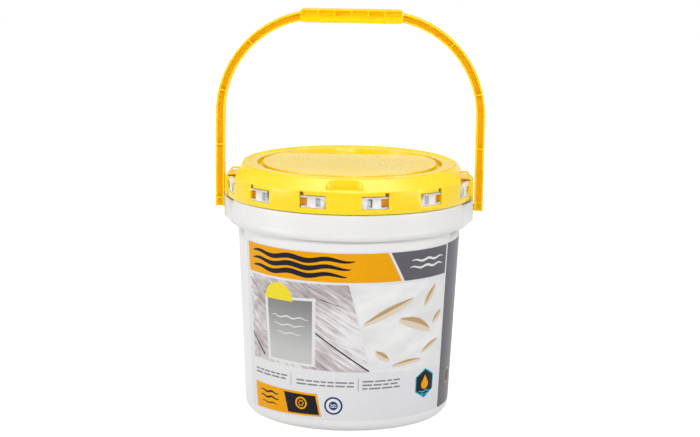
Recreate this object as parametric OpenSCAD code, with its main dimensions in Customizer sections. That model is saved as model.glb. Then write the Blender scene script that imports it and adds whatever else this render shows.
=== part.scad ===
// Insulated bait bucket: a white pail with a foam liner, a yellow lid ring that
// snaps over the pail's rim, a lift-off cover plugged into the ring with a hinged
// hatch in it, a yellow bail with a ribbed grip, and a printed film round the body.
// Origin on the ground at the pail's axis, +Z up, front (finger notch) towards -Y,
// bail pivots on the X axis direction. All lengths in millimetres.

/* [Pail] */
// Height of the pail from the ground to the top of its rim
pail_h = 235; // [215:1:250]
// Outer radius of the wall carried down to the ground
foot_r = 101.6; // [96:0.1:105]
// Outer radius of the wall at the rim
mouth_r = 112.6; // [110:0.1:114]
// Thickness of the wall
wall_t = 2; // [1.6:0.1:2.6]
// Thickness of the floor
floor_t = 2.5; // [2:0.1:4]
// Height of the hollow under the floor
foot_hollow = 1.5; // [0.8:0.1:3]
// Width of the flat ring that the pail stands on
foot_w = 6; // [4:0.5:12]
// Radius of the corner between wall and floor
corner_r = 10; // [6:0.5:14]

/* [Rim and collar] */
// Thickness of the rim below the ring, from the inside of the wall
rim_wall_t = 5.2; // [4.6:0.1:6]
// How far the rim's flanges stand out from the wall
flange_reach = 6.8; // [6:0.1:8]
// Thickness of a flange or rib of the rim
flange_t = 1.7; // [1.2:0.1:2.2]
// Height of the lugs, over both flanges
lug_h = 11.3; // [9:0.1:13]
// How far a lug stands out past the rest of the rim
lug_reach = 1.5; // [0.8:0.1:1.8]
// Width of a lug's middle post
lug_post_w = 8.3; // [6:0.1:9.5]
// Width of the gap at the end of a lug that lies away from the front or back
lug_gap_w = 7.5; // [6:0.1:9]
// Width of the gap between a lug's two posts
lug_slot_w = 4.8; // [3:0.1:6]
// Distance from the rim's top down to the collar's top
collar_drop = 17.4; // [15:0.1:20]
// Height of the hanging collar
collar_h = 25.3; // [20:0.1:34]
// How far the collar leans in from its top to its lower edge
collar_lean = 0.7; // [0:0.1:1.5]

/* [Ears] */
// Width of the boss on each side, where it runs into the collar
boss_w = 78; // [66:1:80]
// Width of the flat face of the boss
boss_face_w = 26; // [22:1:36]
// How far the boss hangs below the collar at the wall
boss_drop = 4.6; // [3:0.1:12]
// Height of the sloping underside of the boss
boss_slope_h = 8.5; // [6:0.1:10]
// Height of the slot between the boss and the ring
ear_slot_h = 3.1; // [2:0.1:4]
// Distance from the top of the collar down to the pivot
pivot_drop = 10.6; // [10:0.1:14]
// Radius of the bail's pivot pin
pin_r = 3.2; // [2.5:0.1:3.4]
// Length of the pin inside the boss
pin_len = 8.8; // [6:0.1:10]
// Clearance all round the pin
pin_clear = 0.06; // [0.02:0.01:0.1]

/* [Foam liner] */
// Thickness of the foam wall
foam_t = 15.5; // [12:0.5:18]
// Thickness of the foam floor
foam_floor_t = 13; // [8:0.5:20]
// Gap between the foam and the pail's wall
liner_gap = 0.3; // [0.2:0.1:0.6]
// Radius of the corner inside the liner
liner_corner_r = 6; // [3:0.5:10]
// How far the liner ends below the rim
liner_drop = 9; // [6:0.5:12]
// Width of the seal on top of the liner
gasket_w = 6.5; // [4:0.5:8]

/* [Lid ring] */
// Gap between the rim and the ring's skirt
ring_gap = 0.3; // [0.2:0.1:0.6]
// Gap between the collar's top and the foot of the ring's skirt
ring_foot_gap = 1; // [0.6:0.1:1.2]
// Thickness of the ring
ring_t = 2; // [1.6:0.1:2.4]
// Height of the ring above the rim
ring_rise = 14.7; // [13:0.1:17]
// Height of the skirt's rounded top edge above the rim
skirt_rise = 5.4; // [4.8:0.1:6]
// Radius of the skirt's rounded top edge
skirt_round_r = 1.6; // [1:0.1:1.9]
// Width of the level ledge round the cover
ledge_w = 1.3; // [0.8:0.1:2]
// Depth of the seat below the ledge
seat_depth = 2.8; // [2.4:0.1:3.4]
// Number of windows on the front half of the skirt, and again on the back half
half_windows = 6; // [4:2:6]
// Angle from one window to the next
window_step_angle = 28.4; // [26:0.1:28.6]
// Width of a window
window_w = 26; // [25:0.5:27]
// Height of a window
window_h = 12.4; // [12:0.1:13.4]
// Width of the step in a window's top edge, at its end away from the front or back
step_w = 3.8; // [3:0.1:5]
// Height of the step
step_h = 3; // [2:0.1:3.4]
// Thickness of the hook at the same end of each window, which grips between the rim's flanges
hook_t = 1.3; // [1:0.1:1.8]
// How far the foot of each side flat stands in from the skirt
flat_in = 10.1; // [8:0.1:11]
// Width left outside the seat at the top of a flat
flat_rim_w = 0.6; // [0.5:0.1:1.2]
// Width of the strap over each flat
strap_w = 24; // [16:0.5:26]
// Thickness of the strap's level part
strap_t = 2; // [1.6:0.1:2.4]
// How far the strap stands out from the skirt
strap_reach = 1.5; // [1.2:0.1:2]
// Radius of the strap's bend
strap_bend_r = 5; // [3.5:0.1:5.5]
// Height of the strap's level part above the rim
strap_rise = 3; // [2.8:0.1:4]
// Width of the loop on the strap
loop_w = 4; // [2.5:0.5:10]
// Thickness of the loop
loop_t = 1.9; // [1.4:0.1:2.4]
// Height of the loop above the strap
loop_h = 4.9; // [4:0.1:6]
// Distance from the skirt in to the loop
loop_in = 2.6; // [2:0.1:3.6]
// Radius of the loop's bend
loop_bend_r = 4; // [3:0.1:4.5]
// Width of the tab on each side
tab_w = 14; // [8:0.5:18]
// How far the tab reaches below the skirt
tab_drop = 7.2; // [5:0.1:8]
// Width of the finger notch at the front
notch_w = 35; // [30:1:44]
// Depth of the notch from the skirt inwards
notch_in = 14.7; // [12:0.1:14.7]
// Radius of the notch's back corners
notch_corner_r = 6; // [3:0.5:8]

/* [Cover] */
// How far the cover's edge lies inside the outer face of the pail's mouth
cover_inset = 7.7; // [7:0.1:9]
// Gap between the cover and the ring
cover_gap = 0.3; // [0.2:0.1:0.5]
// Thickness of the cover's level band
cover_t = 2.3; // [1.8:0.1:2.6]
// Height of the bead round the cover's edge
bead_h = 1.2; // [0.6:0.1:1.8]
// Width of the bead
bead_w = 1.7; // [1.2:0.1:3]
// Depth of the recess below the band
recess_depth = 5.5; // [5.2:0.1:7]
// Width of the sill round the mouth
sill_w = 9; // [7:0.5:14]
// Thickness of the sill
sill_t = 2; // [1.6:0.1:3]
// Depth of the plug below the sill
plug_depth = 9.9; // [6:0.1:14]
// Thickness of the plug's wall
plug_t = 2; // [1.6:0.1:3]
// Gap between the plug and the ring's neck
plug_gap = 0.4; // [0.3:0.1:0.8]
// Radius of the small vent on each side
vent_r = 1.5; // [0.8:0.1:2]
// Distance from the cover's edge to a vent's centre
vent_inset = 6; // [4.5:0.5:8]

/* [Hatch] */
// Width of the groove round the hatch
hatch_groove_w = 6; // [4:0.5:7.5]
// Thickness of the hatch
hatch_t = 2; // [1.6:0.1:3]
// Thickness of the wall under the hatch's edge
hatch_wall_t = 2; // [1.5:0.1:3]
// Height of the hatch above the cover's band
hatch_rise = 0.6; // [0:0.1:1]
// Gap between the hatch's wall and the sill
hatch_gap = 0.3; // [0.2:0.1:0.8]
// Distance from the axis to the hatch's straight back edge
hatch_back = 48; // [36:0.5:52]
// Distance from the back edge to the hinge pin
hinge_set = 4; // [4:0.1:6]
// Depth of the hinge pin's centre below the hatch's top
hinge_drop = 3; // [2.9:0.1:3.2]
// Radius of the hinge pin
hinge_pin_r = 1.5; // [1:0.1:1.7]
// Length of the hinge pin
hinge_pin_len = 112; // [100:1:120]
// Clearance all round the pin in the hatch's arms
hinge_clear = 0.05; // [0.02:0.01:0.1]
// Clearance all round the pin in the cover's lugs
lug_clear = 0.02; // [0.01:0.01:0.1]
// Number of hinge arms on the hatch
hinge_arms = 6; // [2:2:6]
// Distance between neighbouring arms
hinge_step = 18.6; // [14:0.1:18.8]
// Thickness of an arm
hinge_arm_t = 1.8; // [1.2:0.1:3]
// Radius of the arm's round end
knuckle_r = 2.8; // [2.4:0.1:2.8]
// Thickness of a lug of the cover
hinge_lug_t = 3; // [2:0.1:4]

/* [Bail] */
// Width of the bail's arms, seen from the front
arm_w = 8.7; // [7:0.1:11]
// Depth of the arms, front to back
arm_d = 11; // [8:0.5:14]
// Thickness of the arm's flanges
arm_flange_t = 1.9; // [1.4:0.1:2.6]
// Thickness of the arm's middle web
arm_web_t = 2.2; // [1.6:0.1:3]
// Gap between the arm and the boss
arm_gap = 1; // [0.6:0.1:2]
// Length of the arm below the pivot
arm_foot = 3.7; // [3.4:0.1:8]
// Height of the straight arm above the pivot
arm_rise = 90.3; // [80:0.1:110]
// Outer radius of the bail's bends
bend_r = 103; // [95:1:108]
// Length of the grip
grip_len = 100.6; // [90:0.1:120]
// Height of the grip
grip_h = 13.6; // [11:0.1:16]
// Depth of the grip, front to back
grip_d = 25; // [20:0.5:30]
// Number of cells along the grip
grip_cells = 6; // [4:1:8]
// Thickness of the cross ribs
rib_t = 1.5; // [1:0.1:2]
// Spacing of the cross ribs along the straight arm
arm_rib_step = 53.8; // [30:0.1:60]

/* [Label] */
// Height of the labels' lower edge above the ground
label_z = 12.5; // [11:0.5:30]
// Distance from the labels' top up to the underside of the ear bosses
label_top_gap = 8.2; // [5:0.1:20]
// Thickness of the label film
label_t = 0.3; // [0.2:0.05:0.5]
// Gap behind the film
label_gap = 0.1; // [0.05:0.01:0.2]
// Angle from the front to the front label's left edge
label_start_angle = 62; // [45:0.5:63]
// Angle that the front label spans
front_label_angle = 124.5; // [90:0.5:126]
// Angle that the side label spans
side_label_angle = 105; // [60:1:110]
// Angle of the bare strip between the two labels
label_split_angle = 1.6; // [1:0.1:4]

/* [Hidden] */
$fn = 96;
cut = 1; // how far a cutting tool runs past what it cuts

// pail
function wall_r(z) = foot_r + (mouth_r - foot_r) * z / pail_h;
floor_z = foot_hollow + floor_t;
inner_corner_r = corner_r - wall_t;
foot_out_r = wall_r(corner_r) - corner_r;
foot_in_r = foot_out_r - foot_w;

// rim and collar
rim_in_r = mouth_r - wall_t;
rim_out_r = rim_in_r + rim_wall_t;
flange_r = mouth_r + flange_reach;
lug_r = flange_r + lug_reach;
lug_z = pail_h - lug_h;
collar_top = pail_h - collar_drop;
collar_z = collar_top - collar_h;
collar_r = flange_r + ring_gap;

// foam liner
liner_top = pail_h - liner_drop;
liner_floor = floor_z + foam_floor_t;
function foam_out_r(z) = wall_r(z) - wall_t - liner_gap;
function foam_in_r(z) = foam_out_r(z) - foam_t;
gasket_r = foam_out_r(liner_top) - 0.1;
press_r = gasket_r - gasket_w / 2 + ring_t / 2;

// where the cover's edge comes
cover_r = mouth_r - cover_inset;

// lid ring
ring_in_r = flange_r + ring_gap;
ring_out_r = ring_in_r + ring_t;
ring_z = collar_top + ring_foot_gap;
ring_top = pail_h + ring_rise;
skirt_top = pail_h + skirt_rise;
seat_r = cover_r + cover_gap;
ledge_r = seat_r + ledge_w;
seat_z = ring_top - seat_depth;
neck_r = foam_in_r(liner_top);
window_z = lug_z - 0.2;
flat_x = ring_out_r - flat_in;
flat_z = pail_h + 0.1;
flat_top_x = seat_r + flat_rim_w;
function flat_at(z) = flat_x + (flat_top_x - flat_x) * (z - flat_z) / (ring_top - flat_z);
strap_top = pail_h + strap_rise;
window_places = [for (i = [0 : half_windows - 1]) i - (half_windows - 1) / 2];
shoulder_run = ring_out_r - skirt_round_r - ledge_r;
shoulder_slope = (ring_top - skirt_top) / shoulder_run;
stop_t = 2;
stop_r = rim_out_r;

// ears
ear_x = ring_out_r + strap_reach + 0.1;
boss_top = ring_z - ear_slot_h;
boss_z = collar_z - boss_drop;
boss_low_r = wall_r(boss_z) + 0.5;
pivot_z = collar_top - pivot_drop;
tab_z = ring_z - tab_drop;
tab_gap = 0.3;
tab_in = 1.9;
tab_t = 2.5;

// labels
label_top = boss_z - label_top_gap;

// cover
cover_lift = 0.2;
cover_z = seat_z + cover_lift;
band_z = cover_z + cover_t;
plug_r = neck_r - plug_gap;
band_in_r = plug_r - plug_t;
recess_z = band_z - recess_depth;
mouth_in_r = band_in_r - sill_w;
mouth_back = hatch_back - hatch_wall_t - 0.5;
hatch_r = band_in_r - hatch_groove_w;
plug_z = recess_z - sill_t - plug_depth;
notch_z = skirt_top + 0.5;
notch_back = ring_out_r - notch_in;

// hatch
hatch_top = band_z + hatch_rise;
hatch_z = recess_z + hatch_gap;
hinge_y = hatch_back + hinge_set;
hinge_z = hatch_top - hinge_drop;

// bail
arm_in = ear_x + arm_gap;
arm_out = arm_in + arm_w;
bend_z = pivot_z + arm_rise;
bend_x = arm_out - bend_r;
bend_in_r = bend_r - arm_w;
grip_half = grip_len / 2;
grip_end_z = bend_z + sqrt(bend_r * bend_r - pow(grip_half - bend_x, 2));
grip_top = grip_end_z + 3.1;
grip_z = grip_top - grip_h;
grip_flange_t = 1.8;
grip_pitch = (grip_len - rib_t) / grip_cells;
bend_rib_angles = [13, 45.5];
bend_end_a = acos((grip_half - 1 - bend_x) / bend_in_r);

function arc_points(x, y, r, a0, a1, steps) =
  [for (i = [0 : steps]) let (a = a0 + (a1 - a0) * i / steps) [x + r * cos(a), y + r * sin(a)]];

// Pail

module pail_shell() {
  wall_foot = wall_r(floor_z + inner_corner_r) - wall_t - inner_corner_r;
  rotate_extrude()
    polygon(concat(
      [[0, foot_hollow], [foot_in_r, foot_hollow], [foot_in_r + foot_hollow, 0]],
      arc_points(foot_out_r, corner_r, corner_r, -90, 0, 8),
      [[mouth_r, pail_h], [rim_in_r, pail_h]],
      arc_points(wall_foot, floor_z + inner_corner_r, inner_corner_r, 0, -90, 8),
      [[0, floor_z]]));
}

module collar() {
  web_t = wall_t;
  round_r = 1.5;
  rotate_extrude()
    polygon(concat(
      [[wall_r(collar_top) - 1, collar_top],
       [wall_r(collar_top) - 1, collar_top - web_t],
       [collar_r - wall_t, collar_top - web_t],
       [collar_r - wall_t - collar_lean, collar_z],
       [collar_r - collar_lean, collar_z]],
      arc_points(collar_r - round_r, collar_top - round_r, round_r, 0, 90, 4)));
}

module rim() {
  rotate_extrude()
    polygon([[rim_in_r, collar_top - wall_t], [rim_out_r, collar_top - wall_t],
             [rim_out_r, lug_z], [flange_r, lug_z], [flange_r, lug_z + flange_t],
             [rim_out_r, lug_z + flange_t], [rim_out_r, pail_h - flange_t],
             [flange_r, pail_h - flange_t], [flange_r, pail_h], [rim_in_r, pail_h]]);
}

// One snap lug: both flanges run out further, with two posts between them, the mirror
// image of itself where side is -1
module lug(side) {
  half = window_w / 2 - 0.3;
  plate_x = rim_out_r + 1;
  post_x = rim_out_r - 2;
  post_end = window_w / 2 - lug_gap_w;
  slot_end = post_end - lug_post_w;
  posts = [[slot_end, post_end], [-half, slot_end - lug_slot_w]];
  intersection() {
    union() {
      for (z = [lug_z, pail_h - flange_t])
        translate([plate_x, -half, z]) cube([lug_r, 2 * half, flange_t]);
      for (post = posts)
        translate([post_x, side > 0 ? post[0] : -post[1], lug_z + flange_t / 2])
          cube([lug_r, post[1] - post[0], lug_h - flange_t]);
    }
    cylinder(r = lug_r, h = pail_h + 1);
  }
}

module lugs() {
  for (middle = [-90, 90])
    for (place = window_places)
      rotate([0, 0, middle + place * window_step_angle]) lug(sign(place));
}

// The swelling on the +X side that carries the pivot
module boss() {
  slope_r = ear_x + 0.1;
  slope_z = boss_z + boss_slope_h;
  half = boss_w / 2;
  half_face = boss_face_w / 2;
  side_x = sqrt(pow(collar_r - collar_lean, 2) - pow(half, 2)) - 0.2;
  round_x = (pow(ear_x, 2) + pow(half_face, 2) - pow(side_x, 2) - pow(half, 2))
            / (2 * (ear_x - side_x));
  round_r = sqrt(pow(ear_x - round_x, 2) + pow(half_face, 2));
  intersection() {
    translate([0, 0, boss_z])
      linear_extrude(boss_top - boss_z)
        intersection() {
          translate([round_x, 0]) circle(r = round_r);
          translate([90, -half]) square([ear_x - 90, boss_w]);
        }
    union() {
      translate([0, 0, boss_z])
        cylinder(r1 = boss_low_r, r2 = slope_r, h = boss_slope_h);
      translate([0, 0, slope_z])
        cylinder(r = slope_r + boss_w, h = boss_top - slope_z);
    }
    difference() {
      cylinder(r = slope_r + boss_w, h = pail_h);
      translate([0, 0, -cut])
        cylinder(r1 = wall_r(-cut) - wall_t / 2, r2 = wall_r(pail_h) - wall_t / 2,
                 h = pail_h + cut);
    }
  }
}

// What is cut from the +X ear: the slot under the ring, the tab's recess, the bore
module ear_cuts() {
  difference() {
    translate([90, -boss_w / 2 - 3, boss_top])
      cube([60, boss_w + 6, lug_z - boss_top - 2]);
    translate([0, 0, boss_top - cut]) cylinder(r = rim_out_r, h = lug_z);
  }
  translate([ring_out_r - tab_in - tab_gap, -tab_w / 2 - tab_gap, tab_z - tab_gap])
    cube([20, tab_w + 2 * tab_gap, lug_z - 2 - tab_z]);
  translate([ear_x - pin_len - cut, 0, pivot_z])
    rotate([0, 90, 0]) cylinder(r = pin_r + pin_clear, h = pin_len + 2 * cut);
}

module pail() {
  color("WhiteSmoke")
    difference() {
      union() {
        pail_shell();
        collar();
        rim();
        lugs();
        for (a = [0, 180]) rotate([0, 0, a]) boss();
      }
      for (a = [0, 180]) rotate([0, 0, a]) ear_cuts();
    }
}

// Foam liner and gasket

module foam_liner() {
  out_foot = wall_r(floor_z + inner_corner_r) - wall_t - inner_corner_r - liner_gap;
  in_foot = foam_in_r(liner_floor + liner_corner_r) - liner_corner_r;
  color("Gainsboro")
    rotate_extrude()
      polygon(concat(
        [[0, floor_z]],
        arc_points(out_foot, floor_z + inner_corner_r, inner_corner_r, -90, 0, 8),
        [[foam_out_r(liner_top), liner_top], [foam_in_r(liner_top), liner_top]],
        arc_points(in_foot, liner_floor + liner_corner_r, liner_corner_r, 0, -90, 6),
        [[0, liner_floor]]));
}

module rim_gasket() {
  color("DimGray")
    translate([0, 0, liner_top])
      difference() {
        cylinder(r = gasket_r, h = pail_h - liner_top);
        translate([0, 0, -cut]) cylinder(r = gasket_r - gasket_w, h = pail_h);
      }
}

// Lid ring

// Outer face of the ring from the skirt's foot to the ledge
ring_face = concat(
  [[ring_out_r, ring_z]],
  arc_points(ring_out_r - skirt_round_r, skirt_top - skirt_round_r, skirt_round_r, 0, 65, 5),
  [[ledge_r, ring_top]]);

module ring_shell() {
  under = ring_t * 1.2;
  seat_out = ledge_r + (ring_top - under - seat_z + ring_t) / shoulder_slope;
  rotate_extrude()
    polygon(concat(
      ring_face,
      [[seat_r, ring_top], [seat_r, seat_z], [neck_r, seat_z], [neck_r, liner_top],
       [neck_r + ring_t, liner_top], [neck_r + ring_t, seat_z - ring_t],
       [press_r - ring_t, seat_z - ring_t], [press_r - ring_t, pail_h],
       [press_r, pail_h], [press_r, seat_z - ring_t], [seat_out, seat_z - ring_t],
       [ring_in_r, skirt_top - under], [ring_in_r, ring_z]]));
}

// Everything under the ring's outer face, to trim what is added inside it
module ring_envelope() {
  rotate_extrude()
    polygon(concat([[neck_r, ring_z]], ring_face, [[seat_r, ring_top], [seat_r, seat_z],
                   [neck_r, seat_z]]));
}

// Wall inside the ring that stands on the rim
module ring_stop() {
  difference() {
    translate([0, 0, pail_h]) cylinder(r = stop_r, h = skirt_top - pail_h + 2);
    translate([0, 0, pail_h - cut]) cylinder(r = stop_r - stop_t, h = 20);
  }
}

module notch_plan(grow) {
  half = notch_w / 2 + grow;
  r = notch_corner_r + grow;
  back = notch_back - grow;
  translate([-half, -ring_out_r - 2]) square([2 * half, ring_out_r + 2 - back - r]);
  translate([-half + r, -ring_out_r - 2]) square([2 * (half - r), ring_out_r + 2 - back]);
  for (s = [-1, 1]) translate([s * (half - r), -back - r]) circle(r = r);
}

// Slab along the +X flat, between two distances out from it
module flat_slab(z0, z1, out0, out1) {
  translate([0, ring_out_r, 0]) rotate([90, 0, 0]) linear_extrude(2 * ring_out_r)
    polygon([[flat_at(z0) + out0, z0], [flat_at(z0) + out1, z0],
             [flat_at(z1) + out1, z1], [flat_at(z1) + out0, z1]]);
}

// Strap from the +X flat out and down the skirt
module strap() {
  out = ring_out_r + strap_reach;
  translate([0, strap_w / 2, 0]) rotate([90, 0, 0]) linear_extrude(strap_w)
    polygon(concat(
      [[ring_in_r + 0.5, ring_z + 0.5], [out - 1, ring_z + 0.5], [out, ring_z + 1.5]],
      arc_points(out - strap_bend_r, strap_top - strap_bend_r, strap_bend_r, 0, 90, 6),
      [[flat_at(strap_top) - 1, strap_top],
       [flat_at(strap_top) - 1, strap_top - strap_t],
       [ring_in_r + 0.5, strap_top - strap_t]]));
}

module tab() {
  in_x = ring_out_r - tab_in;
  out_x = in_x + tab_t;
  translate([0, tab_w / 2, 0]) rotate([90, 0, 0]) linear_extrude(tab_w)
    polygon([[in_x, tab_z + 1], [in_x + 0.8, tab_z], [out_x - 0.8, tab_z],
             [out_x, tab_z + 1], [out_x, ring_z + 2], [in_x, ring_z + 2]]);
}

// Loop that stands on the strap
module loop() {
  out = ring_out_r - loop_in;
  top = strap_top + loop_h;
  foot = strap_top - strap_t / 2;
  translate([0, loop_w / 2, 0]) rotate([90, 0, 0]) linear_extrude(loop_w)
    polygon(concat(
      [[out, foot]],
      arc_points(out - loop_bend_r, top - loop_bend_r, loop_bend_r, 0, 90, 6),
      [[flat_at(top) - 1, top], [flat_at(top) - 1, top - loop_t]],
      arc_points(out - loop_bend_r, top - loop_bend_r, loop_bend_r - loop_t, 90, 0, 4),
      [[out - loop_t, foot]]));
}

// What is cut from the skirt for one window, the mirror image of itself where side is -1
module window_cut(side) {
  end = window_w / 2;
  translate([stop_r + 0.5, -end, window_z]) cube([30, window_w, window_h]);
  translate([stop_r + 0.5, side > 0 ? end - step_w : -end, window_z + window_h - cut])
    cube([30, step_w, step_h + cut]);
}

// Hook at the end of a window: a wall in from the skirt and a plate before the rim
module hook(side) {
  end = window_w / 2;
  clear = 0.3;
  in_r = rim_out_r + clear;
  reach = lug_gap_w - clear;
  low = lug_z + flange_t + clear;
  high = pail_h - flange_t - clear;
  intersection() {
    difference() {
      cylinder(r = ring_in_r + ring_t / 2, h = high);
      translate([0, 0, -cut]) cylinder(r = in_r, h = high + 2 * cut);
    }
    translate([0, 0, low]) union() {
      translate([in_r - 2, side > 0 ? end : -end - hook_t, 0])
        cube([ring_out_r, hook_t, high - low]);
      translate([in_r - 2, side > 0 ? end - reach : -end - 1, 0])
        cube([2 + hook_t, reach + 1, high - low]);
    }
  }
}

module lid_ring() {
  wall = 2;
  color("Gold")
    union() {
      difference() {
        union() {
          ring_shell();
          intersection() {
            union() {
              ring_stop();
              for (a = [0, 180]) rotate([0, 0, a])
                flat_slab(pail_h + 0.2, ring_top + cut, -wall, cut);
              translate([0, 0, notch_z - wall])
                linear_extrude(30) notch_plan(wall);
            }
            ring_envelope();
          }
        }
        for (middle = [-90, 90])
          for (place = window_places)
            rotate([0, 0, middle + place * window_step_angle]) window_cut(sign(place));
        for (a = [0, 180]) rotate([0, 0, a])
          flat_slab(flat_z, ring_top + cut, 0, flat_x);
        translate([0, 0, notch_z]) linear_extrude(30) notch_plan(0);
      }
      for (middle = [-90, 90])
        for (place = window_places)
          rotate([0, 0, middle + place * window_step_angle]) hook(sign(place));
      for (a = [0, 180]) rotate([0, 0, a]) {
        strap();
        tab();
        loop();
      }
    }
}

// Cover

module cover_edge() {
  edge = 0.4;
  rotate_extrude()
    polygon([[plug_r, cover_z], [cover_r, cover_z], [cover_r, band_z + bead_h - edge],
             [cover_r - edge, band_z + bead_h], [cover_r - bead_w + edge, band_z + bead_h],
             [cover_r - bead_w, band_z], [band_in_r, band_z], [band_in_r, plug_z],
             [plug_r - 0.6, plug_z], [plug_r, plug_z + 2]]);
}

module sill() {
  difference() {
    translate([0, 0, recess_z - sill_t]) cylinder(r = band_in_r + plug_t / 2, h = sill_t);
    intersection() {
      translate([0, 0, plug_z]) cylinder(r = mouth_in_r, h = cover_r);
      translate([-cover_r, -cover_r, plug_z])
        cube([2 * cover_r, cover_r + mouth_back, cover_r]);
    }
  }
}

// An upright plate at x that ends round about the hinge's axis
module knuckle(x, t, r) {
  translate([x - t / 2, hinge_y, hinge_z]) rotate([0, 90, 0]) cylinder(r = r, h = t);
}

module hinge_bore(r) {
  translate([-cover_r, hinge_y, hinge_z]) rotate([0, 90, 0])
    cylinder(r = r, h = 2 * cover_r);
}

module hinge_lug(x) {
  r = knuckle_r - 0.2;
  knuckle(x, hinge_lug_t, r);
  translate([x - hinge_lug_t / 2, hinge_y - r, recess_z - 0.5])
    cube([hinge_lug_t, 2 * r, hinge_z - recess_z + 0.5]);
}

module lid_cover() {
  end_x = hinge_pin_len / 2 - hinge_lug_t / 2 - 0.5;
  color("Yellow")
    difference() {
      union() {
        cover_edge();
        sill();
        for (i = [1 : hinge_arms - 1]) hinge_lug((i - hinge_arms / 2) * hinge_step);
        for (s = [-1, 1]) hinge_lug(s * end_x);
      }
      hinge_bore(hinge_pin_r + lug_clear);
      for (s = [-1, 1])
        translate([s * (cover_r - vent_inset), 0, cover_z - cut])
          cylinder(r = vent_r, h = cover_t + 2 * cut);
    }
}

// Hatch and its pin

module hatch_block(inset, z, h) {
  intersection() {
    translate([0, 0, z]) cylinder(r = hatch_r - inset, h = h);
    translate([-cover_r, -cover_r, z]) cube([2 * cover_r, cover_r + hatch_back - inset, h]);
  }
}

module hinge_arm(x) {
  half_h = 2;
  knuckle(x, hinge_arm_t, knuckle_r);
  translate([x - hinge_arm_t / 2, hatch_back - hatch_wall_t / 2, hinge_z - half_h])
    cube([hinge_arm_t, hinge_set + hatch_wall_t / 2, half_h + knuckle_r]);
}

module hatch() {
  color("Khaki")
    difference() {
      union() {
        difference() {
          hatch_block(0, hatch_z, hatch_top - hatch_z);
          hatch_block(hatch_wall_t, hatch_z - cut, hatch_top - hatch_t - hatch_z + cut);
        }
        for (i = [0 : hinge_arms - 1]) hinge_arm((i - (hinge_arms - 1) / 2) * hinge_step);
      }
      hinge_bore(hinge_pin_r + hinge_clear);
    }
}

module hinge_pin() {
  color("Khaki")
    translate([-hinge_pin_len / 2, hinge_y, hinge_z]) rotate([0, 90, 0])
      cylinder(r = hinge_pin_r, h = hinge_pin_len);
}

// Bail

module arm_section() {
  translate([0, -arm_d / 2]) square([arm_flange_t, arm_d]);
  translate([arm_w - arm_flange_t, -arm_d / 2]) square([arm_flange_t, arm_d]);
  translate([0, -arm_web_t / 2]) square([arm_w, arm_web_t]);
}

// Cross rib of the arm, in the plane square to it
module arm_rib() {
  translate([0, -arm_d / 2, -rib_t / 2]) cube([arm_w, arm_d, rib_t]);
}

module arm() {
  translate([arm_in, 0, pivot_z - arm_foot])
    linear_extrude(arm_foot + arm_rise) arm_section();
  translate([bend_x, 0, bend_z]) rotate([90, 0, 0])
    rotate_extrude(angle = bend_end_a)
      translate([bend_in_r, 0]) arm_section();
  for (z = [pivot_z + 4.8, pivot_z + 4.8 + arm_rib_step])
    translate([arm_in, 0, z]) arm_rib();
  for (a = bend_rib_angles)
    translate([bend_x, 0, bend_z]) rotate([0, -a, 0])
      translate([bend_in_r, 0, 0]) arm_rib();
  translate([arm_in - pin_len - arm_gap + 0.4, 0, pivot_z]) rotate([0, 90, 0])
    cylinder(r = pin_r, h = pin_len + arm_gap + arm_flange_t);
}

// Outline of the grip seen from the front, with bevelled corners
module grip_outline() {
  bevel = 2.4;
  translate([0, grip_d / 2, 0]) rotate([90, 0, 0]) linear_extrude(grip_d)
    polygon([[-grip_half + bevel, grip_z], [grip_half - bevel, grip_z],
             [grip_half, grip_z + bevel], [grip_half, grip_top - bevel],
             [grip_half - bevel, grip_top], [-grip_half + bevel, grip_top],
             [-grip_half, grip_top - bevel], [-grip_half, grip_z + bevel]]);
}

module grip() {
  hollow_r = grip_d / 2 - 0.5;
  hollow_y = grip_d / 2 + 1;
  hollow_z = grip_z + 3 + hollow_r;
  under_r = 56;
  rib_half = 5.2;
  intersection() {
    grip_outline();
    translate([-grip_half - cut, 0, grip_z + under_r]) rotate([0, 90, 0])
      cylinder(r = under_r, h = grip_len + 2 * cut);
    union() {
      difference() {
        translate([-grip_half, -grip_d / 2, grip_z]) cube([grip_len, grip_d, grip_h]);
        for (s = [-1, 1]) {
          translate([-grip_half - cut, s * hollow_y, hollow_z]) rotate([0, 90, 0])
            cylinder(r = hollow_r, h = grip_len + 2 * cut);
          translate([-grip_half - cut, s > 0 ? rib_half : -rib_half - grip_d,
                     hollow_z - hollow_r / 2])
            cube([grip_len + 2 * cut, grip_d, grip_h]);
        }
      }
      translate([-grip_half, -rib_half, grip_top - grip_flange_t])
        cube([grip_len, 2 * rib_half, grip_flange_t]);
      for (i = [0 : grip_cells])
        translate([-grip_half + i * grip_pitch, -rib_half, grip_z + 1])
          cube([rib_t, 2 * rib_half, grip_h - 1]);
    }
  }
}

module bail() {
  color("Gold")
    union() {
      for (a = [0, 180]) rotate([0, 0, a]) arm();
      grip();
    }
}

// Labels

// A film that lies on the pail's wall, spanning an angle from a start counted from the
// front towards +X
module wrap(start, angle) {
  rotate([0, 0, start - 90])
    rotate_extrude(angle = angle)
      polygon([[wall_r(label_z) + label_gap, label_z],
               [wall_r(label_z) + label_gap + label_t, label_z],
               [wall_r(label_top) + label_gap + label_t, label_top],
               [wall_r(label_top) + label_gap, label_top]]);
}

module front_label() {
  color("Orange") wrap(-label_start_angle, front_label_angle);
}

module side_label() {
  side_start = front_label_angle - label_start_angle + label_split_angle;
  color("SlateGray") wrap(side_start, side_label_angle);
}

pail();
foam_liner();
rim_gasket();
lid_ring();
lid_cover();
hatch();
hinge_pin();
bail();
front_label();
side_label();
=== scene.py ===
"""Insulated bait bucket: white pail, yellow lid ring, cover, hatch and bail, and a
generic print on the film round the pail. Lengths are metres, unless a name ends in _mm."""
import math
import random

import bmesh
import bpy
from mathutils import Matrix, Vector


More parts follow.
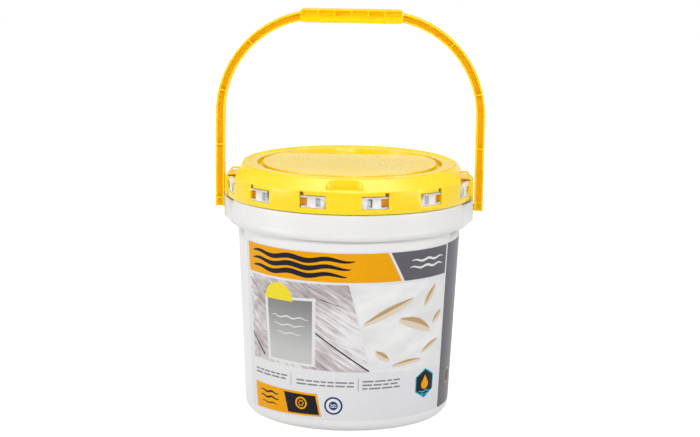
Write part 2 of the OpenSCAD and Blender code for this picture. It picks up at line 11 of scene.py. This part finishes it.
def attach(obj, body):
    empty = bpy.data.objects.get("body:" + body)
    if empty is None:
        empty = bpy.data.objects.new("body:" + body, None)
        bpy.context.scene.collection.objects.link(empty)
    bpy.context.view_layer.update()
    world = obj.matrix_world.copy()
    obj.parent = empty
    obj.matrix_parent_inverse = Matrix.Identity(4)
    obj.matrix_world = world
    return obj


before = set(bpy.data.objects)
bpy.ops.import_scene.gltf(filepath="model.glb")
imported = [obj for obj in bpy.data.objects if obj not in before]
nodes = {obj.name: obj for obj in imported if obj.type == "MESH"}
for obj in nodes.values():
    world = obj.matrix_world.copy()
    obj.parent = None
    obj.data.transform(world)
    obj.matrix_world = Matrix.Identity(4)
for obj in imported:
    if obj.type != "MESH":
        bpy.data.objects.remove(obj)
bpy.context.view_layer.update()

MM = 0.001

# Colours are linear RGB
YELLOW = (0.985, 0.685, 0.003)
PAINTED_WEB_SHADE = (0.98, 0.54, 0.002)   # where the plastic lies in its own shade
# Painted shade for the ring's yellow behind its skirt, up to just above the pail's rim
PAINTED_RIM_SHADE = (0.72, 0.27, 0.002)
PAIL_WHITE = (0.78, 0.775, 0.77)
FILM_WHITE = (0.715, 0.715, 0.73)
ORANGE = (0.80, 0.35, 0.002)
SLATE = (0.115, 0.110, 0.126)
INK = (0.012, 0.010, 0.014)
TAN = (0.48, 0.32, 0.16)
PALE_TAN = (0.70, 0.60, 0.47)
CYAN = (0.02, 0.45, 0.62)
NAVY = (0.018, 0.045, 0.16)
GREY = (0.20, 0.20, 0.21)
SUN = (0.80, 0.66, 0.03)

# Grain of the plastic, in noise cells to a metre
FLOW_CELLS, WEAR_CELLS, PEEL_CELLS = 14.0, 70.0, 900.0
FILM_ROUGHNESS = 0.34

# Where the yellow plastic is darkened with painted shade: from the first distance to the second
# it turns plain
WEB_SHADE_MM = (1.4, 5.0)       # from the bail's middle plane
SKIRT_SHADE_MM = (-3.9, -2.1)   # from the skirt's outer face
RIM_SHADE_MM = (1.2, 2.8)       # above the pail's rim

# The films on the pail
FILM_OUT_MM = 0.4       # from the wall to the film's outer face
PRINT_STEP_MM = 0.03    # from one printed layer to the next
COLUMN_DEG = 1.0        # width of the facets that printed shapes are cut into
WAVE_DEG = 0.75         # width of the quads of a wavy line
WAVE_END_MM = 0.02      # half the width that a wavy line keeps at its ends


def points_mm(name):
    """The points of a CAD node."""
    piece = nodes[name]
    return [piece.matrix_world @ vert.co / MM for vert in piece.data.vertices]


def outer_r_mm(points, z_mm):
    """The outer radius of the points at one height."""
    return max(math.hypot(p.x, p.y) for p in points if abs(p.z - z_mm) < 0.01)


skirt_r_mm = max(p.y for p in points_mm("lid_ring"))
rim_z_mm = max(p.z for p in points_mm("pail"))
film_points = points_mm("front_label")
film_low_mm = min(p.z for p in film_points)
film_high_mm = max(p.z for p in film_points)
film_low_r_mm = outer_r_mm(film_points, film_low_mm)
film_high_r_mm = outer_r_mm(film_points, film_high_mm)


# Shader nodes

def feed(tree, socket, value):
    """Gives a socket a value, or links it to the socket that makes the value."""
    if isinstance(value, bpy.types.NodeSocket):
        tree.links.new(value, socket)
    elif socket.type == "RGBA":
        socket.default_value = (*value, 1.0)
    else:
        socket.default_value = value


def add(tree, kind, inputs):
    """A new node, with what goes into its inputs by their names or numbers."""
    node = tree.nodes.new(kind)
    for key, value in inputs.items():
        feed(tree, node.inputs[key], value)
    return node


def new_material(name):
    """A material with an empty tree but for its shader, and the shader."""
    mat = bpy.data.materials.new(name)
    mat.use_nodes = True
    return mat, mat.node_tree, mat.node_tree.nodes["Principled BSDF"]


def object_coords(tree):
    return add(tree, "ShaderNodeTexCoord", {}).outputs["Object"]


def axes(tree, coords):
    """The X, Y and Z of coordinates."""
    return add(tree, "ShaderNodeSeparateXYZ", {0: coords}).outputs


def calculate(tree, operation, *values):
    node = add(tree, "ShaderNodeMath", dict(enumerate(values)))
    node.operation = operation
    return node.outputs[0]


def noise(tree, coords, scale, detail=3.0):
    return add(tree, "ShaderNodeTexNoise",
               {"Vector": coords, "Scale": scale, "Detail": detail}).outputs["Fac"]


def between(tree, fac, low, high):
    """A number that goes from low to high over the middle of a noise."""
    return add(tree, "ShaderNodeMapRange",
               {"Value": fac, "From Min": 0.3, "From Max": 0.7,
                "To Min": low, "To Max": high}).outputs["Result"]


def step_between(tree, value, low_mm, high_mm):
    """A smooth step of a length from 0 at low to 1 at high."""
    node = add(tree, "ShaderNodeMapRange",
               {"Value": value, "From Min": low_mm * MM, "From Max": high_mm * MM})
    node.interpolation_type = "SMOOTHSTEP"
    return node.outputs["Result"]


def blend_colors(tree, fac, first, second):
    """A colour that goes from first to second as fac goes from 0 to 1."""
    node = tree.nodes.new("ShaderNodeMix")
    node.data_type = "RGBA"
    for number, value in ((0, fac), (6, first), (7, second)):
        feed(tree, node.inputs[number], value)
    return node.outputs[2]


def mottled(tree, coords, cells, first, second):
    """A colour that wanders between two in patches."""
    return blend_colors(tree, between(tree, noise(tree, coords, cells), 0.0, 1.0), first, second)


def shade(color, factor):
    return tuple(c * factor for c in color)


def bump(tree, height, strength, distance):
    return add(tree, "ShaderNodeBump",
               {"Height": height, "Strength": strength, "Distance": distance}).outputs["Normal"]


# Materials

def clear_of_web_shade(tree, coords):
    """Mask of painted shade: 0 in the hollows beside the bail's middle web, 1 at the edges of its
    flanges.
    """
    _, y, _ = axes(tree, coords)
    return step_between(tree, calculate(tree, "ABSOLUTE", y), *WEB_SHADE_MM)


def clear_of_rim_shade(tree, coords):
    """Mask of painted shade: 0 behind the ring's skirt, 1 on the skirt and above it."""
    x, y, z = axes(tree, coords)
    radius = calculate(tree, "SQRT", calculate(tree, "ADD", calculate(tree, "MULTIPLY", x, x),
                                               calculate(tree, "MULTIPLY", y, y)))
    outwards = step_between(tree, radius, *(skirt_r_mm + mm for mm in SKIRT_SHADE_MM))
    upwards = step_between(tree, z, *(rim_z_mm + mm for mm in RIM_SHADE_MM))
    return calculate(tree, "MAXIMUM", outwards, upwards)


def moulded_plastic(name, color, roughness, gloss, glow_mm=0.0, peel=0.008, inside=None,
                    painted_shade_color=None):
    """Injection-moulded plastic: flow haze in the colour, orange peel on the surface, and, if a
    mask is given, painted shade in the shade colour where the mask is 0.
    """
    mat, tree, shader = new_material(name)
    coords = object_coords(tree)
    color = mottled(tree, coords, FLOW_CELLS, shade(color, 0.988), shade(color, 1.012))
    # Painted shade: where the mask is 0 the colour turns to the shade colour
    if inside:
        color = blend_colors(tree, inside(tree, coords), painted_shade_color, color)
    wear = between(tree, noise(tree, coords, WEAR_CELLS), roughness - 0.04, roughness + 0.05)
    feed(tree, shader.inputs["Base Color"], color)
    feed(tree, shader.inputs["Roughness"], wear)
    feed(tree, shader.inputs["Normal"],
         bump(tree, noise(tree, coords, PEEL_CELLS, 2.0), peel, 0.0002))
    shader.inputs["IOR"].default_value = 1.5
    shader.inputs["Specular IOR Level"].default_value = gloss
    if glow_mm:
        shader.inputs["Subsurface Weight"].default_value = 0.35
        shader.inputs["Subsurface Radius"].default_value = (1.0, 0.12, 0.02)
        shader.inputs["Subsurface Scale"].default_value = glow_mm * MM
    return mat


def foam():
    """Closed-cell foam: small cells with soft edges."""
    mat, tree, shader = new_material("foam")
    coords = object_coords(tree)
    cells = add(tree, "ShaderNodeTexVoronoi", {"Vector": coords, "Scale": 420.0})
    feed(tree, shader.inputs["Base Color"],
         mottled(tree, coords, 60.0, (0.80, 0.80, 0.78), (0.88, 0.88, 0.87)))
    feed(tree, shader.inputs["Normal"], bump(tree, cells.outputs["Distance"], 0.35, 0.0006))
    shader.inputs["Roughness"].default_value = 0.8
    return mat


def seal():
    """Black rubber with a matt grain."""
    mat, tree, shader = new_material("seal")
    coords = object_coords(tree)
    feed(tree, shader.inputs["Base Color"],
         mottled(tree, coords, 300.0, (0.018, 0.018, 0.020), (0.035, 0.035, 0.037)))
    feed(tree, shader.inputs["Normal"], bump(tree, noise(tree, coords, 1500.0), 0.2, 0.0002))
    shader.inputs["Roughness"].default_value = 0.65
    return mat


def ink(name, color):
    """Ink on film: a fine dither in the colour under a smooth coat."""
    mat, tree, shader = new_material(name)
    feed(tree, shader.inputs["Base Color"],
         mottled(tree, object_coords(tree), 600.0, shade(color, 0.97), shade(color, 1.03)))
    shader.inputs["Roughness"].default_value = FILM_ROUGHNESS
    shader.inputs["Specular IOR Level"].default_value = 0.1
    return mat


def turned(tree, coords, degrees, scale):
    """Coordinates on the front of the pail, turned in its X and Z plane and stretched."""
    node = add(tree, "ShaderNodeMapping", {"Vector": coords})
    node.vector_type = "TEXTURE"
    node.inputs["Rotation"].default_value = (0, math.radians(degrees), 0)
    node.inputs["Scale"].default_value = scale
    return node.outputs["Vector"]


def print_of_planks():
    """A pale print of weathered boards, with long grain."""
    mat, tree, shader = new_material("print_planks")
    coords = object_coords(tree)
    grain = noise(tree, turned(tree, coords, 32.0, (3.2, 1.0, 0.28)), 130.0, 8.0)
    patches = noise(tree, coords, 16.0, 4.0)
    ramp = add(tree, "ShaderNodeValToRGB",
               {"Fac": calculate(tree, "MULTIPLY_ADD", grain, 0.75, patches)})
    stops = ramp.color_ramp.elements
    stops[0].position, stops[0].color = 0.62, (0.22, 0.18, 0.19, 1)
    stops[1].position, stops[1].color = 1.02, (0.74, 0.72, 0.73, 1)
    stops.new(0.84).color = (0.47, 0.42, 0.42, 1)
    feed(tree, shader.inputs["Base Color"], ramp.outputs["Color"])
    shader.inputs["Roughness"].default_value = FILM_ROUGHNESS
    return mat


def print_of_water():
    """A pale print of still water, with soft ripples."""
    mat, tree, shader = new_material("print_water")
    ripple_coords = turned(tree, object_coords(tree), -18.0, (1.0, 1.0, 0.42))
    feed(tree, shader.inputs["Base Color"],
         mottled(tree, ripple_coords, 24.0, (0.66, 0.66, 0.68), (0.82, 0.815, 0.80)))
    shader.inputs["Roughness"].default_value = FILM_ROUGHNESS
    return mat


def print_fade(name, low_mm, high_mm, low_color, high_color):
    """A print that fades from one colour to another over a height."""
    mat, tree, shader = new_material(name)
    _, _, z = axes(tree, object_coords(tree))
    feed(tree, shader.inputs["Base Color"],
         blend_colors(tree, step_between(tree, z, low_mm, high_mm), low_color, high_color))
    shader.inputs["Roughness"].default_value = FILM_ROUGHNESS
    return mat


# CAD pieces

def dress(name, material, bevel_mm=0.0):
    """Gives a CAD node its material and, if asked, soft edges."""
    piece = nodes[name]
    piece.data.materials.clear()
    piece.data.materials.append(material)
    if bevel_mm:
        weld = piece.modifiers.new("weld", "WELD")
        weld.merge_threshold = 1e-6
        edge = piece.modifiers.new("soft edges", "BEVEL")
        edge.width = bevel_mm * MM
        edge.segments = 2
        edge.limit_method = "ANGLE"
        edge.angle_limit = math.radians(35)
        edge.harden_normals = True


yellow = moulded_plastic("yellow_plastic", YELLOW, 0.30, 0.4, 2.0)
# Painted shade on the ring behind its skirt, up to just above the pail's rim
ring_yellow = moulded_plastic("yellow_ring", YELLOW, 0.30, 0.4, 2.0,
                              inside=clear_of_rim_shade, painted_shade_color=PAINTED_RIM_SHADE)
# Painted shade in the hollows beside the bail's web
bail_yellow = moulded_plastic("yellow_bail", YELLOW, 0.36, 0.12, 2.0, 0.0,
                              inside=clear_of_web_shade, painted_shade_color=PAINTED_WEB_SHADE)
white = moulded_plastic("white_plastic", PAIL_WHITE, 0.38, 0.4)

dress("pail", white, 0.5)
dress("lid_ring", ring_yellow, 0.4)
dress("lid_cover", yellow, 0.35)
dress("hatch", yellow, 0.35)
dress("hinge_pin", yellow)
dress("bail", bail_yellow, 0.35)
dress("foam_liner", foam())
dress("rim_gasket", seal())
dress("front_label", ink("film_white", FILM_WHITE))
dress("side_label", ink("film_slate", SLATE))


# Print on the films. A point there is the angle from the front in degrees, positive towards
# +X, and the height in mm; an outline is a list of such points.

def wall_r_mm(z_mm):
    """The radius of the pail's wall under the film."""
    share = (z_mm - film_low_mm) / (film_high_mm - film_low_mm)
    return film_low_r_mm + (film_high_r_mm - film_low_r_mm) * share - FILM_OUT_MM


def on_film(angle_deg, z_mm, layer):
    """Where a point of a printed layer lies in space."""
    r = (wall_r_mm(z_mm) + FILM_OUT_MM + PRINT_STEP_MM * layer) * MM
    a = math.radians(angle_deg)
    return Vector((r * math.sin(a), -r * math.cos(a), z_mm * MM))


def printed(name, outlines, layer, material):
    """Flat shapes laid on the film."""
    mesh = bmesh.new()
    for outline in outlines:
        mesh.faces.new([mesh.verts.new((a, z, 0)) for a, z in outline])
    low = min(v.co.x for v in mesh.verts)
    high = max(v.co.x for v in mesh.verts)
    column = math.floor(low / COLUMN_DEG) + 1
    while column * COLUMN_DEG < high:
        bmesh.ops.bisect_plane(
            mesh, geom=mesh.verts[:] + mesh.edges[:] + mesh.faces[:], dist=1e-6,
            plane_co=(column * COLUMN_DEG, 0, 0), plane_no=(1, 0, 0))
        column += 1
    bmesh.ops.triangulate(mesh, faces=mesh.faces[:])
    for vert in mesh.verts:
        vert.co = on_film(vert.co.x, vert.co.y, layer)
    for face in mesh.faces:
        face.smooth = True
        middle = face.calc_center_median()
        if face.normal.dot(Vector((middle.x, middle.y, 0))) < 0:
            face.normal_flip()
    data = bpy.data.meshes.new(name)
    mesh.to_mesh(data)
    mesh.free()
    piece = bpy.data.objects.new(name, data)
    bpy.context.scene.collection.objects.link(piece)
    data.materials.append(material)
    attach(piece, "pail_body")


def moved(point, x_mm, y_mm):
    """The point that lies so far to the right of another on the film, and so far above it."""
    angle, z = point
    return angle + math.degrees(x_mm / wall_r_mm(z)), z + y_mm


def polygon(middle, r_mm, count, turn_deg=0.0, squeeze=1.0):
    """An even polygon round a point."""
    turns = [math.radians(turn_deg + 360 * i / count) for i in range(count)]
    return [moved(middle, r_mm * squeeze * math.cos(a), r_mm * math.sin(a)) for a in turns]


def bar(a0, a1, z, height):
    return [(a0, z - height / 2), (a1, z - height / 2), (a1, z + height / 2),
            (a0, z + height / 2)]


def waves(lines, height, swing, step_deg):
    """Wavy lines, each from one angle to another at a height, that thin out at their ends."""
    quads = []
    for a0, a1, z in lines:
        count = max(8, int(abs(a1 - a0) / WAVE_DEG))
        rows = []
        for i in range(count + 1):
            t = i / count
            a = a0 + (a1 - a0) * t
            middle = z + swing * math.sin(math.radians(360 * (a - a0) / step_deg))
            half = height / 2 * math.sin(math.pi * t) ** 0.5 + WAVE_END_MM
            rows.append(((a, middle - half), (a, middle + half)))
        quads += [[near[0], far[0], far[1], near[1]] for near, far in zip(rows, rows[1:])]
    return quads


def leaf(angle, z, length_mm, width_mm, turn_deg, bend_mm):
    """A drifting leaf: a lens shape with a bend, as one outline."""
    edge = []
    steps = 14
    for side in (1, -1):
        for i in range(steps):
            t = i / steps if side > 0 else 1 - i / steps
            along = (t - 0.5) * length_mm
            across = side * width_mm / 2 * math.sin(math.pi * t) ** 0.8
            across += bend_mm * math.sin(math.pi * t)
            edge.append((along, across))
    c, s = math.cos(math.radians(turn_deg)), math.sin(math.radians(turn_deg))
    return [moved((angle, z), x * c - y * s, x * s + y * c) for x, y in edge]


orange_ink = ink("print_orange", ORANGE)
slate_ink = ink("print_slate", SLATE)
black_ink = ink("print_black", INK)
white_ink = ink("print_white", FILM_WHITE)
cyan_ink = ink("print_cyan", CYAN)
navy_ink = ink("print_navy", NAVY)
tan_ink = ink("print_tan", TAN)
pale_tan_ink = ink("print_pale_tan", PALE_TAN)
grey_ink = ink("print_grey", GREY)
sun_ink = ink("print_sun", SUN)
panel_ink = print_fade("print_panel", 68, 138, (0.50, 0.50, 0.49), (0.17, 0.17, 0.17))

# Heading band and the block beside it
printed("print_band", [[(-59.6, 179), (-59.1, 150.4), (30.6, 150.4), (22.7, 179)]], 1,
        orange_ink)
printed("print_block", [[(24.2, 179), (32.3, 150.2), (62.2, 150.2), (62.4, 179)]], 1,
        slate_ink)
printed("print_band_waves",
        waves([(-55, 6, 172.0), (-55, 4, 164.6), (-55, 2, 157.2)], 5.2, 1.4, 20.7), 2,
        black_ink)
printed("print_block_waves", waves([(36, 59, 169.0), (35, 59, 162.4)], 2.4, 0.9, 9.0), 2,
        white_ink)

# Picture: boards on the left, water on the right
printed("print_boards", [[(-58.9, 148), (-57.0, 64), (14.2, 61.2), (2.9, 148)]], 1,
        print_of_planks())
printed("print_pond", [[(3.7, 148), (15.2, 61.2), (62.2, 58.2), (60.9, 148)]], 1,
        print_of_water())
printed("print_board_gaps",
        [[(-58.8, 144), (-58.8, 143.2), (-52.5, 135.8), (-52.5, 136.6)],
         [(-12.0, 133.6), (-12.0, 132.9), (-2.0, 126.6), (-2.0, 127.2)],
         [(-15.0, 100.5), (-15.0, 98.9), (14.0, 61.4), (14.2, 62.9)],
         [(-57.6, 90), (-57.6, 88.4), (-47.5, 68.9), (-46.7, 70.2)]], 2,
        black_ink)
printed("print_panel_frame", [[(-45.5, 131), (-44.0, 66.5), (-14.6, 65.0), (-14.2, 133.5)]], 2,
        white_ink)
printed("print_panel", [[(-43.6, 128.5), (-42.2, 69.0), (-16.4, 67.6), (-16.0, 130.5)]], 3,
        panel_ink)
SUN_MIDDLE = (-36, 128.0)   # it stands half above the panel's edge
printed("print_sun",
        [[p for p in polygon(SUN_MIDDLE, 17.0, 40) if p[1] >= SUN_MIDDLE[1] - 0.1]], 4,
        sun_ink)
printed("print_panel_waves",
        waves([(-41, -18, 112)], 1.4, 0.9, 8.0) + waves([(-40, -20, 104)], 1.2, 0.8, 8.0)
        + waves([(-38, -22, 96)], 1.0, 0.7, 8.0), 4, white_ink)

LEAVES = [  # angle, height, length, width, turn, bend
    (24.5, 119, 60, 9.5, 24, 2.0), (40.5, 103, 44, 12.5, -20, 3.5), (50.0, 131, 26, 9.0, 52, 1.0),
    (56.6, 108, 18, 7.5, 38, 0.5), (21.0, 76, 18, 8.0, -32, 0.8), (36.0, 67, 36, 5.5, 6, 1.4),
    (52.0, 80, 28, 6.0, 22, 1.4)]
printed("print_leaves", [leaf(*values) for values in LEAVES], 2, pale_tan_ink)
printed("print_leaf_ribs",
        [leaf(a, z + w * 0.22, length * 0.96, w * 0.38, turn, bend)
         for a, z, length, w, turn, bend in LEAVES], 3, tan_ink)

# Three columns of short rules, with dividers between them
RULE_H_MM, RULE_GAP_DEG = 1.5, 0.9
COLUMNS = [  # first angle, last angle, heights of the rows
    (-55.6, -30.5, (53.0, 49.6)), (-25.4, 6.2, (50.8, 47.2)), (10.8, 32.0, (52.0, 48.4, 44.8))]
random.seed(4)
rules = []
for start, end, heights in COLUMNS:
    for z in heights:
        a = start
        while a < end - 1.0:
            width = random.uniform(2.4, 6.5)
            rules.append(bar(a, min(a + width, end), z, RULE_H_MM))
            a += width + RULE_GAP_DEG
printed("print_rules", rules, 1, grey_ink)
printed("print_dividers", [bar(-28.9, -28.6, 50.5, 12.5), bar(8.4, 8.7, 49.0, 13.0)], 1,
        grey_ink)

# Corner block, with a ring of dots
RING = (-22.8, 27.5)
RING_DOTS = [moved(RING, 2.4 * math.cos(math.radians(a)), 2.4 * math.sin(math.radians(a)))
             for a in range(0, 360, 60)]
printed("print_corner", [[(-56.7, 39.6), (-55.6, 13.8), (-11.2, 15.6), (-13.6, 38.2)]], 1,
        orange_ink)
printed("print_corner_dark", [[(-33.6, 36.8), (-30.9, 16.6), (-12.4, 17.2), (-14.6, 36.0)]], 2,
        black_ink)
printed("print_corner_marks",
        waves([(-52, -37, 32.5), (-52, -37, 27.0)], 2.0, 0.8, 7.5)
        + waves([(-51, -38, 21.5)], 1.2, 0.5, 7.5), 2, black_ink)
printed("print_corner_rings", [polygon(RING, 6.2, 28)], 3, orange_ink)
printed("print_corner_ring_inside", [polygon(RING, 4.6, 28)], 4, black_ink)
printed("print_corner_dots", [polygon(dot, 0.9, 12) for dot in RING_DOTS], 5, orange_ink)

# Round badge with waves
BADGE = (-4.6, 27.4)
printed("print_badge", [polygon(BADGE, 9.0, 40)], 1, navy_ink)
printed("print_badge_field", [polygon(BADGE, 7.2, 36)], 2, white_ink)
printed("print_badge_core", [polygon(BADGE, 4.4, 30)], 3, navy_ink)
printed("print_badge_waves", waves([(-6.6, -2.6, 28.2), (-6.6, -2.6, 26.2)], 0.9, 0.4, 2.0), 4,
        white_ink)

# Six-sided tile with a drop over waves
HEXAGON = {"count": 6, "turn_deg": 90.0, "squeeze": 0.98}
TILE = (49.6, 43.2)
DROP_TIP, DROP_MIDDLE = moved(TILE, 0, 8.3), moved(TILE, 0, -1.0)
printed("print_tile", [polygon(TILE, 15.2, **HEXAGON)], 1, cyan_ink)
printed("print_tile_field", [polygon(TILE, 13.8, **HEXAGON)], 2, black_ink)
printed("print_tile_drop", [[DROP_TIP] + polygon(DROP_MIDDLE, 5.0, 26, 128.0)[:21]], 3,
        orange_ink)
printed("print_tile_waves",
        waves([(44.5, 54.7, 35.0)], 1.3, 0.7, 5.1) + waves([(45.7, 53.5, 32.0)], 1.1, 0.6, 5.1),
        3, cyan_ink)

# Side film
SIDE_START_DEG = 98
SIDE_RULES = [  # height, last angle
    (120, 150), (114, 158), (108, 146), (92, 156), (86, 150), (80, 160), (74, 140)]
SIDE_TILE = (75.5, 41.0)
printed("print_side_waves",
        waves([(SIDE_START_DEG, 162, z) for z in (150.0, 143.0, 136.0)], 2.4, 1.6, 21.3), 1,
        orange_ink)
printed("print_side_rules", [bar(SIDE_START_DEG, a, z, 1.6) for z, a in SIDE_RULES], 1,
        white_ink)
printed("print_side_tile", [polygon(SIDE_TILE, 9.0, **HEXAGON)], 1, tan_ink)
printed("print_side_tile_field", [polygon(SIDE_TILE, 7.6, **HEXAGON)], 2, black_ink)


# Floor, light and camera

WHITE_LIGHT = (1.0, 1.0, 1.0)
ROOM_LIGHT, BACKDROP_LIGHT = 0.18, 1.0
FLOOR_HALF = 4.0
FLOOR_PLAIN, FLOOR_DIM, FLOOR_GLOW = 0.72, 0.36, 0.94
LIGHTS_AIM = (0, 0, 0.2)
SOFTBOXES = [  # name, place, width and height, watts
    ("top", (0.0, 0.15, 1.9), (1.4, 1.0), 19.0), ("key", (0.2, -2.15, 1.15), (0.8, 0.22), 19.5),
    ("left", (-2.0, -1.0, 0.5), (0.9, 0.7), 22.0), ("right", (2.0, -0.9, 0.5), (0.9, 0.7), 16.0)]
# The camera as fitted to the photograph
CAMERA_PLACE = (0.0832, -2.0510, 0.5791)
CAMERA_YAW, CAMERA_PITCH, CAMERA_ROLL = -0.0400, -0.1862, 0.0145
CAMERA_LENS_MM, SENSOR_W_MM = 107.55, 36.0


def show_to_backdrop_rays(tree, plain, seen, kind):
    """Gives a tree one surface for rays that look at the background, which are the camera's,
    reflections and what shines through, and another for all the rest."""
    path = tree.nodes.new("ShaderNodeLightPath")
    ray = path.outputs["Is Camera Ray"]
    for name in ("Is Glossy Ray", "Is Transmission Ray"):
        ray = calculate(tree, "MAXIMUM", ray, path.outputs[name])
    choose = add(tree, "ShaderNodeMixShader",
                 {0: ray, 1: plain.outputs[0], 2: seen.outputs[0]})
    add(tree, kind, {"Surface": choose.outputs[0]})


def stage_floor():
    """Pale floor that reads as white to the camera and keeps the object's shadow."""
    size = FLOOR_HALF
    data = bpy.data.meshes.new("floor")
    data.from_pydata([(-size, -size, 0), (size, -size, 0), (size, size, 0), (-size, size, 0)],
                     [], [(0, 1, 2, 3)])
    floor = bpy.data.objects.new("floor", data)
    bpy.context.scene.collection.objects.link(floor)
    mat = bpy.data.materials.new("floor")
    mat.use_nodes = True
    tree = mat.node_tree
    tree.nodes.clear()
    plain = add(tree, "ShaderNodeBsdfDiffuse", {"Color": shade(WHITE_LIGHT, FLOOR_PLAIN)})
    dim = add(tree, "ShaderNodeBsdfDiffuse", {"Color": shade(WHITE_LIGHT, FLOOR_DIM)})
    glow = add(tree, "ShaderNodeEmission", {"Strength": FLOOR_GLOW})
    seen = add(tree, "ShaderNodeAddShader", {0: dim.outputs[0], 1: glow.outputs[0]})
    show_to_backdrop_rays(tree, plain, seen, "ShaderNodeOutputMaterial")
    data.materials.append(mat)


def light_world():
    """A dim room that reads as a white backdrop to the camera."""
    world = bpy.data.worlds.new("studio")
    bpy.context.scene.world = world
    world.use_nodes = True
    tree = world.node_tree
    tree.nodes.clear()
    room, backdrop = (add(tree, "ShaderNodeBackground", {"Color": WHITE_LIGHT, "Strength": light})
                      for light in (ROOM_LIGHT, BACKDROP_LIGHT))
    show_to_backdrop_rays(tree, room, backdrop, "ShaderNodeOutputWorld")


def softbox(name, place, size, power):
    light = bpy.data.lights.new(name, "AREA")
    light.shape = "RECTANGLE"
    light.size, light.size_y = size
    light.energy = power
    box = bpy.data.objects.new(name, light)
    bpy.context.scene.collection.objects.link(box)
    box.location = place
    box.rotation_mode = "QUATERNION"
    box.rotation_quaternion = (Vector(LIGHTS_AIM) - Vector(place)).to_track_quat("-Z", "Y")


def photo_camera():
    """The camera looks along ahead, after a yaw, a pitch and a roll."""
    ahead_level = Vector((math.sin(CAMERA_YAW), math.cos(CAMERA_YAW), 0))
    right = Vector((math.cos(CAMERA_YAW), -math.sin(CAMERA_YAW), 0))
    z_axis = Vector((0, 0, 1))
    ahead = ahead_level * math.cos(CAMERA_PITCH) + z_axis * math.sin(CAMERA_PITCH)
    up = z_axis * math.cos(CAMERA_PITCH) - ahead_level * math.sin(CAMERA_PITCH)
    side = right * math.cos(CAMERA_ROLL) + up * math.sin(CAMERA_ROLL)
    top = up * math.cos(CAMERA_ROLL) - right * math.sin(CAMERA_ROLL)
    data = bpy.data.cameras.new("camera")
    data.lens = CAMERA_LENS_MM
    data.sensor_width = SENSOR_W_MM
    data.sensor_fit = "HORIZONTAL"
    camera = bpy.data.objects.new("camera", data)
    bpy.context.scene.collection.objects.link(camera)
    turn = Matrix((side, top, -ahead)).transposed()
    camera.matrix_world = Matrix.Translation(CAMERA_PLACE) @ turn.to_4x4()
    bpy.context.scene.camera = camera


stage_floor()
light_world()
for values in SOFTBOXES:
    softbox(*values)
photo_camera()
bpy.context.scene.view_settings.view_transform = "Standard"
